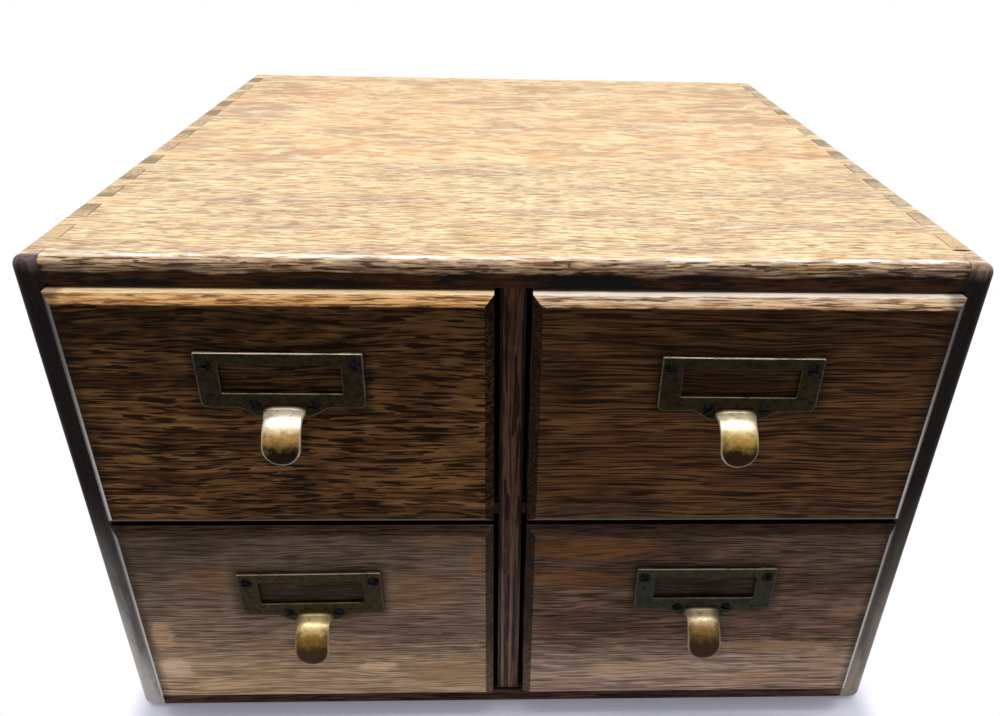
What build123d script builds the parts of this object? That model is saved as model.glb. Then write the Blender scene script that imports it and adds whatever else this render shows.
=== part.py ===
from build123d import *
import math
import os

# All sizes are millimetres. X runs along the width, Y from front to back, Z up.

# Case
case_width = 356.0
case_depth = 352.0
case_height = 234.0
side_thickness = 10.0
top_thickness = 10.5
bottom_thickness = 10.0
long_arris_radius = 4.5
front_arris_radius = 3.2
back_arris_radius = 2.0
top_seam_from_front = 126.5

# Through dovetails between the sides and the top and bottom
pin_pitch = 25.4
pin_count = 13
first_pin_from_front = 25.8
pin_width_outside = 12.6
pin_flare = 1.5
half_pin_width_outside = 2.6

# Partition, shelves and back panel
partition_thickness = 9.8
partition_setback = 1.0
partition_housing = 3.0
shelf_thickness = 6.0
shelf_housing = 3.0
shelf_setback = 12.0
back_panel_thickness = 6.0
back_rebate = 5.0
back_panel_gap = 0.4
nail_shank_diameter = 1.4
nail_shank_length = 18.0
nail_head_diameter = 4.0
nail_head_height = 0.8
nail_from_edge = 2.4
nails_across = 4
nails_upright = 4
nail_corner_margin = 30.0

# Drawer boxes
drawer_front_thickness = 16.0
drawer_front_proud = 7.0
drawer_front_bevel = 3.5
bevel_ease = 0.9
outer_arris_ease = 0.6
drawer_side_thickness = 8.0
drawer_side_headroom = 14.45
drawer_back_thickness = 8.0
drawer_back_below_sides = 6.0
drawer_bottom_thickness = 4.0
drawer_bottom_rise = 4.0
drawer_bottom_groove = 4.0
front_above_box = 2.5
top_front_gap = 1.25
outer_side_gap = 0.5
partition_side_gap = 2.2
run_clearance = 0.05
rear_gap = 0.5
edge_ease = 0.6

# Dovetails of the drawer boxes
tail_count = 3
first_tail_height = 22.0
last_tail_below_top = 14.0
tail_width_root = 10.0
tail_flare = 1.5
front_tail_length = 9.0

# Label holder and finger pull
plate_width = 62.0
plate_height = 23.2
plate_depth = 1.8
plate_sheet = 1.0
plate_lower_radius = 2.5
plate_top_below_front_top = 23.2
window_width = 45.0
window_height = 12.2
window_from_top = 4.8
label_pocket_width = 48.6
label_pocket_margin = 1.6
shoulder_half_width = 17.8
shoulder_drop = 4.1
pull_width = 14.8
pull_root_width = 16.6
pull_taper = 7.0
pull_sheet = 1.2
pull_start_from_top = 22.4
pull_root_radius = 1.6
pull_root_lean = 15.0
pull_run = 2.5
pull_bow_radius = 13.6
pull_bow_angle = 87.0

# Screws of the label holder
corner_screw_half_span = 27.4
corner_screw_from_top = 4.9
corner_screw_head = 5.5
lower_screw_half_span = 11.0
lower_screw_from_top = 22.2
lower_screw_head = 4.9
upper_left_plate_right = 0.9
upper_left_plate_up = 1.6
upper_left_plate_turn = 0.2
upper_right_plate_right = -0.35
upper_right_plate_up = 0.5
upper_right_plate_turn = 0.4
lower_left_plate_right = 0.5
lower_left_plate_up = 0.6
lower_left_plate_turn = -0.7
lower_right_plate_right = -0.65
lower_right_plate_up = 2.3
lower_right_plate_turn = 0.0
screw_head_height = 1.3
screw_shank_diameter = 2.4
screw_shank_length = 11.0
screw_slot_width = 0.8
screw_slot_depth = 0.7
screw_hole_gap = 0.1

# Card follower
follower_side_gap = 9.2
follower_below_back = 2.0
follower_base_depth = 26.0
follower_top_depth = 9.0
follower_corner_radius = 9.0
follower_from_rear = 100.5
follower_slot_width = 6.0
follower_slot_from_front = 24.0
follower_slot_from_rear = 50.5
foot_stem_width = 5.4
foot_stem_length = 18.0
foot_stem_depth_in_block = 12.0
foot_plate_width = 24.0
foot_plate_length = 34.0
foot_plate_thickness = 1.6
foot_plate_gap = 0.6

# Sizes and positions that follow from the sizes above
root_angle = 90.0 - pull_root_lean
root_reach = pull_root_radius * (1 - math.cos(math.radians(root_angle)))
run_reach = pull_run * math.cos(math.radians(pull_root_lean))
bow_reach = pull_bow_radius * (1 - math.sin(math.radians(pull_root_lean)))
front_projection = drawer_front_proud + plate_depth + root_reach + run_reach + bow_reach
rear_projection = nail_head_height
front_y = front_projection - (case_depth + front_projection + rear_projection) / 2
back_y = front_y + case_depth
inner_half_width = case_width / 2 - side_thickness
top_underside = case_height - top_thickness
shelf_spacing = (top_underside - bottom_thickness - run_clearance - top_front_gap) / 2
shelf_top = bottom_thickness + shelf_spacing
panel_front_y = back_y - back_panel_thickness
drawer_face_y = front_y - drawer_front_proud
drawer_front_back_y = drawer_face_y + drawer_front_thickness
drawer_rear_y = panel_front_y - rear_gap
drawer_front_width = inner_half_width - partition_thickness / 2 - partition_side_gap - outer_side_gap
drawer_front_height = shelf_spacing - front_above_box
drawer_centre_x = inner_half_width - outer_side_gap - drawer_front_width / 2
drawer_side_height = shelf_spacing - shelf_thickness - run_clearance - drawer_side_headroom
drawer_floor_height = drawer_bottom_rise + drawer_bottom_thickness
drawer_back_height = drawer_side_height - drawer_floor_height - drawer_back_below_sides
tail_pitch = (drawer_side_height - first_tail_height - last_tail_below_top) / (tail_count - 1)
follower_width = drawer_front_width - 2 * drawer_side_thickness - 2 * follower_side_gap
follower_height = drawer_back_height - follower_below_back


def block(x0, x1, y0, y1, z0, z1):
    """A rectangular block between two opposite corners."""
    centre = Pos((x0 + x1) / 2, (y0 + y1) / 2, (z0 + z1) / 2)
    return centre * Box(x1 - x0, y1 - y0, z1 - z0)


def case_envelope():
    """The outside of the case with every arris rounded."""
    body = block(-case_width / 2, case_width / 2, front_y, back_y, 0, case_height)
    body = fillet(body.edges().filter_by(Axis.Y), long_arris_radius)
    front_loop = body.faces().sort_by(Axis.Y)[0].edges()
    body = fillet(front_loop, front_arris_radius)
    back_loop = body.faces().sort_by(Axis.Y)[-1].edges()
    return fillet(back_loop, back_arris_radius)


def side_pin(direction, y_near, y_far, flare_near, flare_far, z0, z1):
    """One pin of a side board, wider at the inner face than at the outer face."""
    x_out = direction * case_width / 2
    x_in = direction * inner_half_width
    outline = Polyline(
        (x_out, y_near),
        (x_out, y_far),
        (x_in, y_far + flare_far),
        (x_in, y_near - flare_near),
        close=True,
    )
    return Pos(0, 0, z0) * extrude(make_face(outline), z1 - z0)


def side_pins(direction, z0, z1):
    """The front half pin and the full pins of one end of a side board."""
    pins = side_pin(direction, front_y, front_y + half_pin_width_outside, 0, pin_flare, z0, z1)
    for index in range(pin_count):
        centre = front_y + first_pin_from_front + index * pin_pitch
        near = centre - pin_width_outside / 2
        far = centre + pin_width_outside / 2
        pins += side_pin(direction, near, far, pin_flare, pin_flare, z0, z1)
    return pins


def back_opening():
    """The rebate cut for the back panel."""
    half = inner_half_width + back_rebate
    low = bottom_thickness - back_rebate
    high = top_underside + back_rebate
    return block(-half, half, panel_front_y, back_y + 1, low, high)


def partition_body():
    """The upright partition before its shelf housings are cut."""
    half = partition_thickness / 2
    low = bottom_thickness - partition_housing
    high = top_underside + partition_housing
    return block(-half, half, front_y + partition_setback, panel_front_y, low, high)


def shelf_body(direction):
    """A thin shelf let into a side and into the partition."""
    inner = direction * (partition_thickness / 2 - shelf_housing)
    outer = direction * (inner_half_width + shelf_housing)
    near = min(inner, outer)
    far = max(inner, outer)
    return block(near, far, front_y + shelf_setback, panel_front_y, shelf_top - shelf_thickness, shelf_top)


def nail_positions():
    """Centres of the nails around the back panel."""
    points = []
    x_line = inner_half_width + back_rebate - nail_from_edge
    z_low = bottom_thickness - back_rebate + nail_from_edge
    z_high = top_underside + back_rebate - nail_from_edge
    x_first = -inner_half_width + nail_corner_margin
    x_step = -2 * x_first / (nails_across - 1)
    for index in range(nails_across):
        points.append((x_first + index * x_step, z_low))
        points.append((x_first + index * x_step, z_high))
    z_first = bottom_thickness + nail_corner_margin
    z_step = (top_underside - nail_corner_margin - z_first) / (nails_upright - 1)
    for index in range(nails_upright):
        points.append((-x_line, z_first + index * z_step))
        points.append((x_line, z_first + index * z_step))
    return points


def nail_shanks(extra):
    """Straight shanks of all back panel nails, widened by the extra diameter."""
    radius = (nail_shank_diameter + extra) / 2
    shanks = []
    for x, z in nail_positions():
        shank = Cylinder(radius, nail_shank_length)
        shanks.append(Pos(x, back_y - nail_shank_length / 2, z) * Rot(90, 0, 0) * shank)
    return shanks


def back_panel_nails():
    """Round-headed nails that hold the back panel in its rebate."""
    nails = []
    for x, z in nail_positions():
        shank = Cylinder(nail_shank_diameter / 2, nail_shank_length)
        shank = Pos(x, back_y - nail_shank_length / 2, z) * Rot(90, 0, 0) * shank
        head = Cylinder(nail_head_diameter / 2, nail_head_height)
        head = Pos(x, back_y + nail_head_height / 2, z) * Rot(90, 0, 0) * head
        nails.append(shank + head)
    return nails


def case_parts():
    """The boards of the glued case."""
    envelope = case_envelope()
    rebate = back_opening()
    partition = partition_body()
    shelf_left = shelf_body(-1)
    shelf_right = shelf_body(1)
    top = block(-case_width / 2, case_width / 2, front_y, back_y, top_underside, case_height)
    bottom = block(-case_width / 2, case_width / 2, front_y, back_y, 0, bottom_thickness)
    sides = {}
    for name, direction in (("left", -1), ("right", 1)):
        x_pair = sorted((direction * inner_half_width, direction * case_width / 2))
        board = block(x_pair[0], x_pair[1], front_y, back_y, bottom_thickness, top_underside)
        upper_pins = side_pins(direction, top_underside, case_height)
        lower_pins = side_pins(direction, 0, bottom_thickness)
        board = board + upper_pins + lower_pins
        top = top - upper_pins
        bottom = bottom - lower_pins
        sides[name] = board
    top = (top & envelope) - rebate - partition
    bottom = (bottom & envelope) - rebate - partition
    left = (sides["left"] & envelope) - rebate - shelf_left
    right = (sides["right"] & envelope) - rebate - shelf_right
    seam_y = front_y + top_seam_from_front
    half_width = case_width / 2
    front_zone = block(-half_width, half_width, front_y, seam_y, 0, case_height)
    back_zone = block(-half_width, half_width, seam_y, back_y, 0, case_height)
    panel_half = inner_half_width + back_rebate - back_panel_gap
    panel_low = bottom_thickness - back_rebate + back_panel_gap
    panel_high = top_underside + back_rebate - back_panel_gap
    panel = block(-panel_half, panel_half, panel_front_y, back_y, panel_low, panel_high)
    shanks = nail_shanks(screw_hole_gap)
    parts = {
        "case_top_front_board": top & front_zone,
        "case_top_back_board": top & back_zone,
        "case_bottom": bottom,
        "case_left_side": left,
        "case_right_side": right,
        "centre_partition": partition - shelf_left - shelf_right,
        "left_shelf": shelf_left,
        "right_shelf": shelf_right,
        "back_panel": panel,
    }
    for name in ("case_top_back_board", "case_bottom", "case_left_side", "case_right_side", "back_panel"):
        parts[name] = parts[name] - shanks
    parts["back_panel_nails"] = Compound(children=back_panel_nails())
    return parts


def box_tail(x0, x1, y_root, y_end, z_centre):
    """One tail of a drawer side, wider at its end than at its root."""
    root = tail_width_root / 2
    end = root + tail_flare
    outline = Polyline(
        (y_root, z_centre - root),
        (y_end, z_centre - end),
        (y_end, z_centre + end),
        (y_root, z_centre + root),
        close=True,
    )
    return extrude(Plane.YZ.offset(x0) * make_face(outline), x1 - x0)


def drawer_side(x0, x1, box_z):
    """A drawer side with tails at both ends and a groove for the bottom."""
    y_front = drawer_front_back_y
    y_back = drawer_rear_y - drawer_back_thickness
    board = block(x0, x1, y_front, y_back, box_z, box_z + drawer_side_height)
    board = fillet(board.edges().filter_by(Axis.Y).group_by(Axis.Z)[-1], edge_ease)
    for index in range(tail_count):
        height = box_z + first_tail_height + index * tail_pitch
        board += box_tail(x0, x1, y_front, y_front - front_tail_length, height)
        board += box_tail(x0, x1, y_back, drawer_rear_y, height)
    return board


def plate_screw_positions():
    """Screw centres, head diameters and slot angles, from the middle of the plate's top edge."""
    corner = corner_screw_half_span
    lower = lower_screw_half_span
    return [
        (-corner, -corner_screw_from_top, corner_screw_head, 12),
        (corner, -corner_screw_from_top, corner_screw_head, -20),
        (-lower, -lower_screw_from_top, lower_screw_head, 35),
        (lower, -lower_screw_from_top, lower_screw_head, -8),
    ]


def plate_screws():
    """Slotted round-headed screws seated on the front of the label holder at Y = 0."""
    screws = []
    for x, z, head_diameter, turn in plate_screw_positions():
        head_radius = head_diameter / 2
        ball_radius = (head_radius ** 2 + screw_head_height ** 2) / (2 * screw_head_height)
        ball = Pos(0, 0, screw_head_height - ball_radius) * Sphere(ball_radius)
        limit = Pos(0, 0, screw_head_height / 2) * Cylinder(head_radius, screw_head_height)
        slot = Box(head_diameter + 1, screw_slot_width, 2 * screw_slot_depth)
        slot = Pos(0, 0, screw_head_height) * Rot(0, 0, turn) * slot
        shank = Pos(0, 0, -screw_shank_length / 2) * Cylinder(screw_shank_diameter / 2, screw_shank_length)
        screw = (ball & limit) - slot + shank
        screws.append(Pos(x, 0, z) * Rot(90, 0, 0) * screw)
    return screws


def screw_holes():
    """Holes for the label holder screws."""
    radius = (screw_shank_diameter + screw_hole_gap) / 2
    depth = screw_shank_length + 2
    holes = []
    for x, z, head_diameter, turn in plate_screw_positions():
        holes.append(Pos(x, depth / 2 - 1, z) * Rot(90, 0, 0) * Cylinder(radius, depth))
    return holes


def holder_outline():
    """Outline of the label holder in the XZ plane, from the middle of its top edge."""
    half = plate_width / 2
    low = -plate_height
    radius = plate_lower_radius
    neck = pull_root_width / 2
    ear = low - shoulder_drop
    with BuildSketch(Plane.XZ) as sketch:
        with BuildLine():
            Line((0, 0), (half, 0))
            Line((half, 0), (half, low + radius))
            RadiusArc((half, low + radius), (half - radius, low), radius)
            Line((half - radius, low), (shoulder_half_width, low))
            Spline((shoulder_half_width, low), (neck, ear), tangents=((-1, 0), (-1, -0.7)))
            Line((neck, ear), (0, ear))
            mirror(about=Plane.YZ)
        make_face()
    return sketch.sketch


def pull_profile():
    """Side view of the bent strip in the YZ plane, with the middle of its thickness as the path."""
    with BuildSketch(Plane.YZ) as sketch:
        with BuildLine():
            root = JernArc((pull_sheet / 2, -pull_start_from_top), (0, -1), pull_root_radius, -root_angle)
            run = PolarLine(root @ 1, pull_run, direction=root % 1)
            JernArc(run @ 1, run % 1, pull_bow_radius, pull_bow_angle)
        trace(line_width=pull_sheet)
    return sketch.sketch


def pull_strip():
    """Finger pull: the bent strip cut to its taper and to a round end."""
    strip = extrude(pull_profile(), pull_root_width / 2, both=True)
    tip = strip.bounding_box().min.Z
    end_radius = pull_width / 2
    root = pull_root_width / 2
    reach = -strip.bounding_box().min.Y + 1
    with BuildSketch(Plane.XZ.offset(-reach)) as front_view:
        with BuildLine():
            Polyline(
                (-end_radius, tip + end_radius),
                (-end_radius, -pull_start_from_top - pull_taper),
                (-root, -pull_start_from_top),
                (-root, 0),
                (root, 0),
                (root, -pull_start_from_top),
                (end_radius, -pull_start_from_top - pull_taper),
                (end_radius, tip + end_radius),
            )
            RadiusArc((end_radius, tip + end_radius), (-end_radius, tip + end_radius), end_radius)
        make_face()
    return strip & extrude(front_view.sketch, 2 * reach)


def label_holder():
    """Label holder and finger pull pressed from one brass sheet, its front at Y = 0."""
    body = extrude(holder_outline(), -plate_depth)
    window_low = -window_from_top - window_height
    body -= block(-window_width / 2, window_width / 2, -1, plate_depth + 1, window_low, -window_from_top)
    half_pocket = label_pocket_width / 2
    body -= block(-half_pocket, half_pocket, plate_sheet, plate_depth + 1, window_low - label_pocket_margin, 1)
    half_root = pull_root_width / 2
    body -= block(-half_root, half_root, -1, plate_depth + 1, -plate_height * 2, -pull_start_from_top)
    holes = screw_holes()
    return (body - holes) + pull_strip()


def drawer_parts(label, direction, box_z, plate_right, plate_up, plate_turn):
    """Every piece of one drawer; direction is -1 on the left and 1 on the right."""
    centre_x = direction * drawer_centre_x
    left_x = centre_x - drawer_front_width / 2
    right_x = centre_x + drawer_front_width / 2
    front_low = box_z + front_above_box
    front = block(left_x, right_x, drawer_face_y, drawer_front_back_y, front_low, front_low + drawer_front_height)
    front = chamfer(front.faces().sort_by(Axis.Y)[0].edges(), drawer_front_bevel)
    outer_y = drawer_face_y + drawer_front_bevel
    front = fillet(front.edges().filter_by_position(Axis.Y, outer_y - 0.01, outer_y + 0.01), outer_arris_ease)
    front = fillet(front.faces().sort_by(Axis.Y)[0].edges(), bevel_ease)
    left = drawer_side(left_x, left_x + drawer_side_thickness, box_z)
    right = drawer_side(right_x - drawer_side_thickness, right_x, box_z)
    floor_low = box_z + drawer_bottom_rise
    floor_top = floor_low + drawer_bottom_thickness
    rebate = drawer_side_thickness - drawer_bottom_groove
    floor = block(left_x + rebate, right_x - rebate, drawer_front_back_y - drawer_bottom_groove,
                  drawer_rear_y, floor_low, floor_top)
    back = block(left_x, right_x, drawer_rear_y - drawer_back_thickness, drawer_rear_y,
                 floor_top, floor_top + drawer_back_height)
    front = front - left - right - floor
    back = back - left - right
    left = left - floor
    right = right - floor
    slot_near = drawer_front_back_y + follower_slot_from_front
    slot_far = drawer_rear_y - follower_slot_from_rear
    half_slot = follower_slot_width / 2
    floor -= block(centre_x - half_slot, centre_x + half_slot, slot_near, slot_far,
                   floor_low - 1, floor_top + 1)
    plate_top = front_low + drawer_front_height - plate_top_below_front_top
    seat = Pos(centre_x + plate_right, drawer_face_y - plate_depth, plate_top + plate_up) * Rot(0, plate_turn, 0)
    front = front - [seat * hole for hole in screw_holes()]
    block_part, foot_part = follower_parts(centre_x, floor_low, floor_top)
    return {
        label + "_drawer_front": front,
        label + "_drawer_left_side": left,
        label + "_drawer_right_side": right,
        label + "_drawer_back": back,
        label + "_drawer_bottom": floor,
        label + "_label_holder_pull": seat * label_holder(),
        label + "_label_holder_screws": Compound(children=[seat * screw for screw in plate_screws()]),
        label + "_follower_block": block_part,
        label + "_follower_foot": foot_part,
    }


def follower_parts(centre_x, floor_low, floor_top):
    """Wedge-shaped follower block and the steel foot that holds it in the slot."""
    near = drawer_rear_y - follower_from_rear
    far = near + follower_base_depth
    low = floor_top + run_clearance
    high = low + follower_height
    outline = Polyline((near, low), (far, low), (far, high), (far - follower_top_depth, high), close=True)
    wedge = extrude(Plane.YZ.offset(centre_x) * make_face(outline), follower_width / 2, both=True)
    half = follower_width / 2
    shield = block(centre_x - half, centre_x + half, near - 1, far + 1, low, high)
    top_corners = shield.edges().filter_by(Axis.Y).group_by(Axis.Z)[-1]
    wedge = wedge & fillet(top_corners, follower_corner_radius)
    middle_y = (near + far) / 2
    plate_high = floor_low - foot_plate_gap
    plate_low = plate_high - foot_plate_thickness
    stem = block(centre_x - foot_stem_width / 2, centre_x + foot_stem_width / 2,
                 middle_y - foot_stem_length / 2, middle_y + foot_stem_length / 2,
                 plate_high, low + foot_stem_depth_in_block)
    sole = block(centre_x - foot_plate_width / 2, centre_x + foot_plate_width / 2,
                 middle_y - foot_plate_length / 2, middle_y + foot_plate_length / 2,
                 plate_low, plate_high)
    return wedge - stem, stem + sole


os.makedirs("parts", exist_ok=True)
lower_z = bottom_thickness + run_clearance
upper_z = shelf_top + run_clearance
all_parts = case_parts()
all_parts.update(drawer_parts(
    "upper_left", -1, upper_z, upper_left_plate_right, upper_left_plate_up, upper_left_plate_turn))
all_parts.update(drawer_parts(
    "upper_right", 1, upper_z, upper_right_plate_right, upper_right_plate_up, upper_right_plate_turn))
all_parts.update(drawer_parts(
    "lower_left", -1, lower_z, lower_left_plate_right, lower_left_plate_up, lower_left_plate_turn))
all_parts.update(drawer_parts(
    "lower_right", 1, lower_z, lower_right_plate_right, lower_right_plate_up, lower_right_plate_turn))
for name, shape in all_parts.items():
    export_step(shape, "parts/" + name + ".step")
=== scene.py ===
import bpy, math
import numpy as np
from mathutils import Matrix, Vector


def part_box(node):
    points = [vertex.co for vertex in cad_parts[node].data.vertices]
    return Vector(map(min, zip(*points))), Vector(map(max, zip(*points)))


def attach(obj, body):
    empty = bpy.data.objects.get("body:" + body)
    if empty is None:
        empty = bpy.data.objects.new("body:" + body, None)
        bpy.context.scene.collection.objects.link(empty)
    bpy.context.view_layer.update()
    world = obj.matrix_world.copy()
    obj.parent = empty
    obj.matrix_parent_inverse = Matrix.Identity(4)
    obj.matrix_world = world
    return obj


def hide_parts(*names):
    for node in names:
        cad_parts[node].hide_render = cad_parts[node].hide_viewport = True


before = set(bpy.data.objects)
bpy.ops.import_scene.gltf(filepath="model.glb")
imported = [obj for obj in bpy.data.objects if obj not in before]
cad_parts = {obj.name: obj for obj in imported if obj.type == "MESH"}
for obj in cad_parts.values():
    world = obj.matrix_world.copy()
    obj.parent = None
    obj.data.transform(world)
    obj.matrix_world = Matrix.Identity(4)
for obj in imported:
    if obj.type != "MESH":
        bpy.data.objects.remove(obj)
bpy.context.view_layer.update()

# Case top. Two quarter-sawn oak boards, edge-glued, with an old clear finish rubbed thin:
# pale golden on top, near-black low on the front edge, and a painted highlight along the front arris.

# Kinds of node, each with its mode: a smooth step between two limits, two colours mixed, and sums.
smooth, mixed = "MapRange SMOOTHSTEP", "Mix RGBA"
times, plus, minus, larger = "Math MULTIPLY", "Math ADD", "Math SUBTRACT", "Math MAXIMUM"
size_of, divided = "Math ABSOLUTE", "Math DIVIDE"
mode_of = {"Math": "operation", "VectorMath": "operation", "MapRange": "interpolation_type",
           "Mix": "data_type"}
# Limits of a noise: for a crisp change of tone, and for nearly its whole range.
soft_step = (0.38, 0.62)
whole_span = (0.3, 0.7)


def shade(code):
    """Linear colour of an sRGB hex value: a straight line for the darkest parts, a power of 2.4 above."""
    parts = [int(code[i:i + 2], 16) / 255 for i in (0, 2, 4)]
    return tuple(v / 12.92 if v <= 0.04045 else ((v + 0.055) / 1.055) ** 2.4 for v in parts) + (1.0,)


def node(tree, kind, *feeds, out=None, **settings):
    """Adds a node with its settings and links. The kind is its name, then its mode after a space. Feeds
    are values or outputs for its inputs, in order or as one dictionary by name. Gives the named output, or
    else the first one."""
    name, _, mode = kind.partition(" ")
    made = tree.nodes.new("ShaderNode" + name)
    if mode:
        setattr(made, mode_of[name], mode)
    for key, value in settings.items():
        setattr(made, key, value)
    if feeds and isinstance(feeds[0], dict):
        pairs = [(made.inputs[key], value) for key, value in feeds[0].items()]
    else:
        pairs = zip([socket for socket in made.inputs if socket.enabled], feeds)
    for socket, value in pairs:
        if isinstance(value, bpy.types.NodeSocket):
            tree.links.new(value, socket)
        else:
            socket.default_value = value
    return made.outputs[out] if out else next((socket for socket in made.outputs if socket.enabled), None)


def frayed(tree, measure, noise, amount):
    """A measure plus a noise times an amount, so that a border drawn on it frays."""
    return node(tree, plus, measure, node(tree, times, noise, amount))


def uneven(tree, measure, noise, amount):
    """A measure that wavers to both sides: the noise is taken less its middle."""
    return frayed(tree, measure, node(tree, minus, noise, 0.5), amount)


def apart(tree, one, other):
    """How far one value lies from another, either way."""
    return node(tree, size_of, node(tree, minus, one, other))


def speckle(tree, place, feature, detail=2.0, roughness=0.5, swirl=0.0):
    """Noise whose spots have the given sizes in mm along, across and through the board."""
    scaled = node(tree, "VectorMath MULTIPLY", place, tuple(1 / size for size in feature))
    return node(tree, "TexNoise", {"Vector": scaled, "Scale": 1.0, "Detail": detail,
                                   "Roughness": roughness, "Distortion": swirl}, out="Fac")


def start_material(name, axes, seed):
    """A new material, its node tree, the place on the piece in mm as along, across and through the grain,
    and the place in metres as X, Y and Z."""
    made = bpy.data.materials.new(name)
    made.use_nodes = True
    tree = made.node_tree
    tree.nodes.clear()
    parts = node(tree, "SeparateXYZ", node(tree, "TexCoord", out="Object")).node.outputs
    turned = node(tree, "CombineXYZ", *(parts[axis] for axis in axes))
    place = node(tree, "VectorMath MULTIPLY_ADD", turned, (1000.0,) * 3,
                 (seed * 137.0, seed * 71.0, seed * 43.0))
    return made, tree, place, parts


def oak_figure(tree, place, dark, light, pore, fleck, patch, pore_size=(15, 1.2, 1.4),
               pore_edge=(0.56, 0.6), pore_amount=0.9, hair_amount=0.4, fleck_size=(14, 3, 3),
               fleck_amount=0.4, fleck_edge=(0.53, 0.6), swirl=0.3, patch_size=(60, 22, 40),
               patch_amount=0.5, ring=2.4, ring_run=110, sway=4.0):
    """Oak: rings as long streaks that sway with the grain; stained patches; ray fleck as paler ribbons that
    curl across; and open pores as dark dashes, gathered in bands, with hair lines between them. The pores
    are drawn about three times as wide as real ones, so that they show. Sizes are in mm. Gives the colour,
    the height of the surface, the streaks and the pores."""
    stretched = node(tree, "VectorMath MULTIPLY", place, (1 / 75, 1 / 28, 1 / 28))
    drift = node(tree, "TexNoise", {"Vector": stretched, "Scale": 1.0, "Detail": 2.0}, out="Color")
    moved = node(tree, "VectorMath MULTIPLY_ADD", drift, (0.0, 2 * sway, sway), place)
    streak = speckle(tree, moved, (ring_run, ring, ring * 2), 5.0, 0.62)
    colour = node(tree, mixed, node(tree, smooth, streak, 0.36, 0.64), shade(dark), shade(light))
    stain = node(tree, smooth, speckle(tree, moved, patch_size, 4.0, 0.6), 0.44, 0.62, 0.0, patch_amount)
    colour = node(tree, mixed, stain, colour, shade(patch))
    ribbon = speckle(tree, place, fleck_size, 2.0, 0.5, swirl)
    ribbon = node(tree, smooth, ribbon, *fleck_edge, 0.0, fleck_amount)
    colour = node(tree, mixed, ribbon, colour, shade(fleck))
    band = speckle(tree, moved, (60, 9, 12), 2.0, 0.5)
    grain = speckle(tree, moved, pore_size, 1.0, 0.4)
    hollow = node(tree, smooth, uneven(tree, grain, band, 0.16), *pore_edge)
    hair = speckle(tree, moved, (pore_size[0] * 0.8, pore_size[1] * 0.5, pore_size[2]), 1.0, 0.5)
    hair = node(tree, smooth, hair, 0.54, 0.62, 0.0, hair_amount)
    marks = node(tree, larger, node(tree, times, hollow, pore_amount), hair)
    colour = node(tree, mixed, marks, colour, shade(pore))
    height = node(tree, minus, node(tree, times, streak, 0.35), hollow)
    return colour, height, streak, marks


def finish_wood(tree, colour, height, rough, gloss, depth):
    """Closes a wood material: roughness from the figure, bump depth in mm, and the gloss of its finish."""
    bump = node(tree, "Bump", {"Strength": 1.0, "Distance": depth / 1000, "Height": height})
    shader = node(tree, "BsdfPrincipled", {"Base Color": colour, "Roughness": rough, "Normal": bump,
                                           "IOR": 1.5, "Specular IOR Level": gloss})
    node(tree, "OutputMaterial", shader)


def surface_facing(tree):
    """The way the surface faces, as X, Y and Z."""
    return node(tree, "SeparateXYZ", node(tree, "TexCoord", out="Normal")).node.outputs


def blot(tree, across, up, centre, half_size, ragged):
    """A spot: an oval about a centre in mm on two directions, made ragged by a noise; 1 inside and 0
    outside."""
    across = node(tree, divided, node(tree, minus, across, centre[0] / 1000), half_size[0] / 1000)
    up = node(tree, divided, node(tree, minus, up, centre[1] / 1000), half_size[1] / 1000)
    squares = node(tree, plus, node(tree, times, across, across), node(tree, times, up, up))
    return node(tree, smooth, frayed(tree, node(tree, "Math SQRT", squares), ragged, 1.4), 1.9, 1.3)


def dress(names, material):
    """Puts one material on all faces of the named pieces of the frame."""
    for name in names:
        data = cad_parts[name].data
        data.materials.clear()
        data.materials.append(material)
        for face in data.polygons:
            face.material_index = 0


case_half_width = 0.178
side_wall = 0.010
front_arris = 0.0036
case_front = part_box("case_left_side")[0].y
case_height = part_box("case_top_front_board")[1].z
seam_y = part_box("case_top_front_board")[1].y
pin_pitch = 0.0254
first_pin = 0.0258
pin_half_width = 0.0063
pin_flare = 0.0015
glue_line = 0.0004
open_joint_centre = (170.9, 14.7)
open_joint_half_size = (3.6, 1.0)


def joint_lines(tree, parts):
    """Dark glue lines round the dovetail pins: distance to the pins' slanted cheeks and to the base line."""
    from_side = node(tree, minus, case_half_width, node(tree, size_of, parts["X"]))
    run = node(tree, minus, parts["Y"], case_front + first_pin - pin_pitch / 2)
    within = apart(tree, node(tree, "Math FLOORED_MODULO", run, pin_pitch), pin_pitch / 2)
    cheek = node(tree, plus, pin_half_width, node(tree, times, from_side, pin_flare / side_wall))
    line = node(tree, smooth, apart(tree, within, cheek), glue_line, glue_line * 0.35)
    in_side = node(tree, smooth, from_side, side_wall + 0.0006, side_wall - 0.0002)
    base = node(tree, smooth, apart(tree, from_side, side_wall), glue_line, glue_line * 0.35)
    between = node(tree, smooth, within, pin_half_width + pin_flare, pin_half_width)
    return node(tree, larger, node(tree, times, line, in_side), node(tree, times, base, between))


def open_joint(tree, parts, ragged):
    """The short open gap at the second cheek on the right, just behind the front."""
    from_front = node(tree, minus, parts["Y"], case_front)
    return blot(tree, parts["X"], from_front, open_joint_centre, open_joint_half_size, ragged)


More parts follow.
